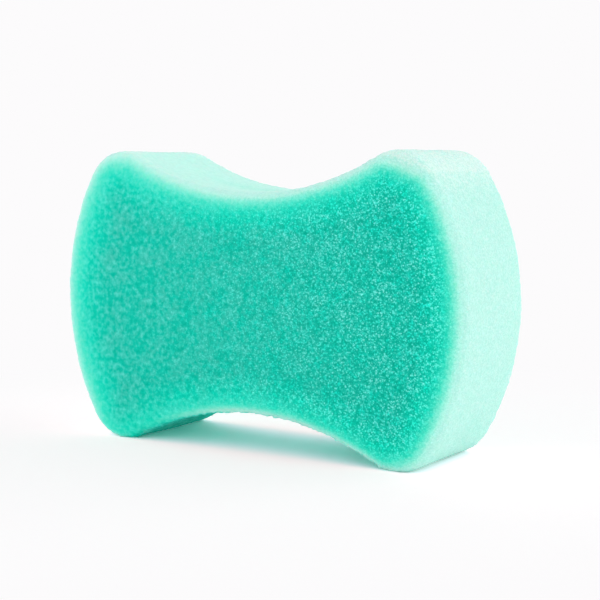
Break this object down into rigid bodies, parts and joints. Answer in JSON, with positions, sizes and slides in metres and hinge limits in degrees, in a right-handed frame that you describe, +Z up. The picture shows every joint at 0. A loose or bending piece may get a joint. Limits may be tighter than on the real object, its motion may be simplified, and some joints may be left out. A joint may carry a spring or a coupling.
{
  "type": "bath sponge",
  "caption": "Hourglass-shaped foam bath sponge with bowed ends, rounded corners and a waist to grip, standing on its long narrow side.",
  "frame": {"origin": "on the ground below the middle of the sponge, level with the flats that its two lower corners stand on", "axes": "+X along the length, +Y through the thickness from the front face to the back face, +Z up across the waist"},
  "size_m": [0.15, 0.044, 0.0956],
  "materials": {
    "foam": "soft open-cell foam, matte"
  },
  "bodies": {
    "root": {"sponge": "foam"}
  },
  "joints": []
}
